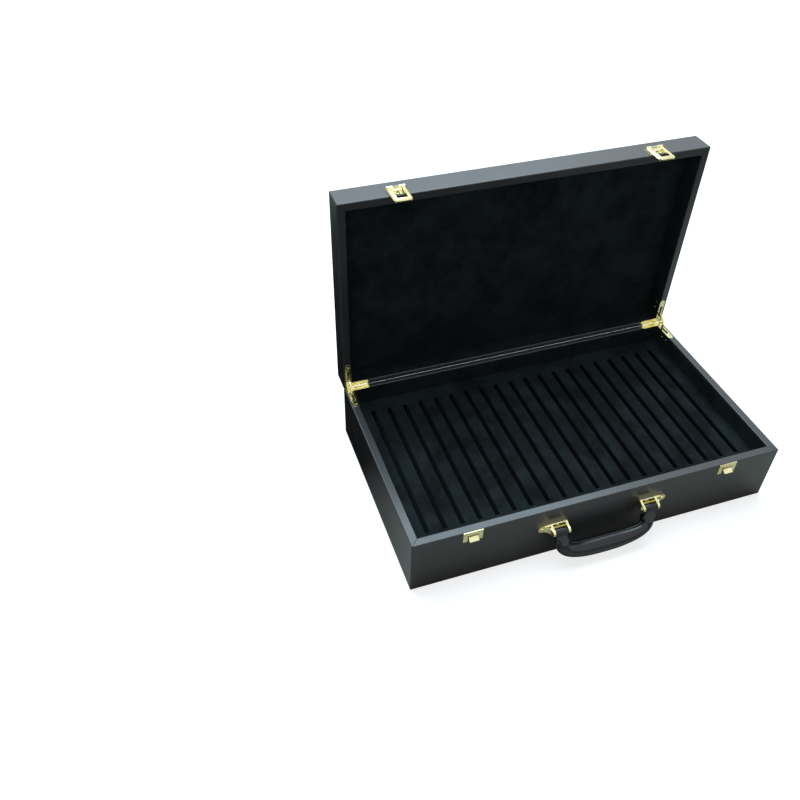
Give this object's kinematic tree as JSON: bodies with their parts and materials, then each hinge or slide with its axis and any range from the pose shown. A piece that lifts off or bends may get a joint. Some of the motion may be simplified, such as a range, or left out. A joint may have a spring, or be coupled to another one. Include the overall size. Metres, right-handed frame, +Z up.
{
  "type": "sample briefcase",
  "caption": "Leatherette-covered sample briefcase with a slotted velvet insert, quadrant-hinged lid, front loop latches and a swinging carrying handle.",
  "frame": {"origin": "centre of the underside of the base, on the surface that the case stands on", "axes": "+X along the front to the right as seen from the front, +Y to the back where the lid is hinged, +Z up"},
  "size_m": [0.48, 0.3328, 0.3584],
  "materials": {
    "leatherette": "black glossy coated cloth with a fine grain, wrapped over board",
    "velvet": "short black flocked velvet",
    "gold_plate": "polished gold-coloured plating on brass and steel",
    "handle_leather": "black padded leather, stitched along its edges",
    "spring_steel": "bright spring steel"
  },
  "bodies": {
    "base": {"base_front_wall": "leatherette", "base_back_wall": "leatherette", "base_left_wall": "leatherette", "base_right_wall": "leatherette", "base_bottom_board": "leatherette", "insert_floor": "velvet", "insert_ribs": "velvet", "insert_front_land": "velvet", "insert_back_land": "velvet", "insert_left_land": "velvet", "insert_right_land": "velvet", "base_front_lining": "velvet", "base_back_lining": "velvet", "base_left_lining": "velvet", "base_right_lining": "velvet", "base_hinge_leaf_left": "gold_plate", "base_hinge_leaf_right": "gold_plate", "hinge_pin_left": "gold_plate", "hinge_pin_right": "gold_plate", "base_hinge_screws": "gold_plate", "base_hinge_tacks": "gold_plate", "catch_plate_left": "gold_plate", "catch_plate_right": "gold_plate", "catch_screws": "gold_plate", "handle_bracket_left": "gold_plate", "handle_bracket_right": "gold_plate", "bracket_screws": "gold_plate", "handle_pin_left": "gold_plate", "handle_pin_right": "gold_plate"},
    "lid": {"lid_front_wall": "leatherette", "lid_back_wall": "leatherette", "lid_left_wall": "leatherette", "lid_right_wall": "leatherette", "lid_board": "leatherette", "lid_pad": "velvet", "lid_front_lining": "velvet", "lid_back_lining": "velvet", "lid_left_lining": "velvet", "lid_right_lining": "velvet", "lid_hinge_leaf_left": "gold_plate", "lid_hinge_leaf_right": "gold_plate", "lid_hinge_screws": "gold_plate", "lid_hinge_tacks": "gold_plate", "latch_plate_left": "gold_plate", "latch_plate_right": "gold_plate", "latch_plate_screws": "gold_plate", "latch_pin_left": "gold_plate", "latch_pin_right": "gold_plate", "latch_spring_left": "spring_steel", "latch_spring_right": "spring_steel"},
    "stay_left": {"stay_left": "gold_plate"},
    "stay_right": {"stay_right": "gold_plate"},
    "handle": {"handle_core": "spring_steel", "handle_grip": "handle_leather", "handle_end_left": "handle_leather", "handle_end_right": "handle_leather"},
    "latch_left": {"latch_loop_left": "gold_plate"},
    "latch_right": {"latch_loop_right": "gold_plate"}
  },
  "joints": [
    {"name": "lid_hinge", "type": "hinge", "parent": "base", "child": "lid", "pos_m": [0, 0.13375, 0.0822], "axis": [1, 0, 0], "range_deg": [0, 90]},
    {"name": "stay_left_turn", "type": "hinge", "parent": "base", "child": "stay_left", "pos_m": [-0.23375, 0.13375, 0.0822], "axis": [1, 0, 0], "range_deg": [0, 45]},
    {"name": "stay_right_turn", "type": "hinge", "parent": "base", "child": "stay_right", "pos_m": [0.23375, 0.13375, 0.0822], "axis": [1, 0, 0], "range_deg": [0, 45]},
    {"name": "latch_left_swing", "type": "hinge", "parent": "lid", "child": "latch_left", "pos_m": [-0.167, 0.14795, 0.35645], "axis": [-1, 0, 0], "range_deg": [0, 110], "stiffness_Nm_per_rad": 0.02},
    {"name": "latch_right_swing", "type": "hinge", "parent": "lid", "child": "latch_right", "pos_m": [0.167, 0.14795, 0.35645], "axis": [-1, 0, 0], "range_deg": [0, 110], "stiffness_Nm_per_rad": 0.02},
    {"name": "handle_swing", "type": "hinge", "parent": "base", "child": "handle", "pos_m": [0, -0.147, 0.051], "axis": [-1, 0, 0], "range_deg": [-20, 160]}
  ],
  "couplings": [
    {"joint": "stay_left_turn", "follows": "lid_hinge", "ratio": 0.5},
    {"joint": "stay_right_turn", "follows": "lid_hinge", "ratio": 0.5}
  ]
}
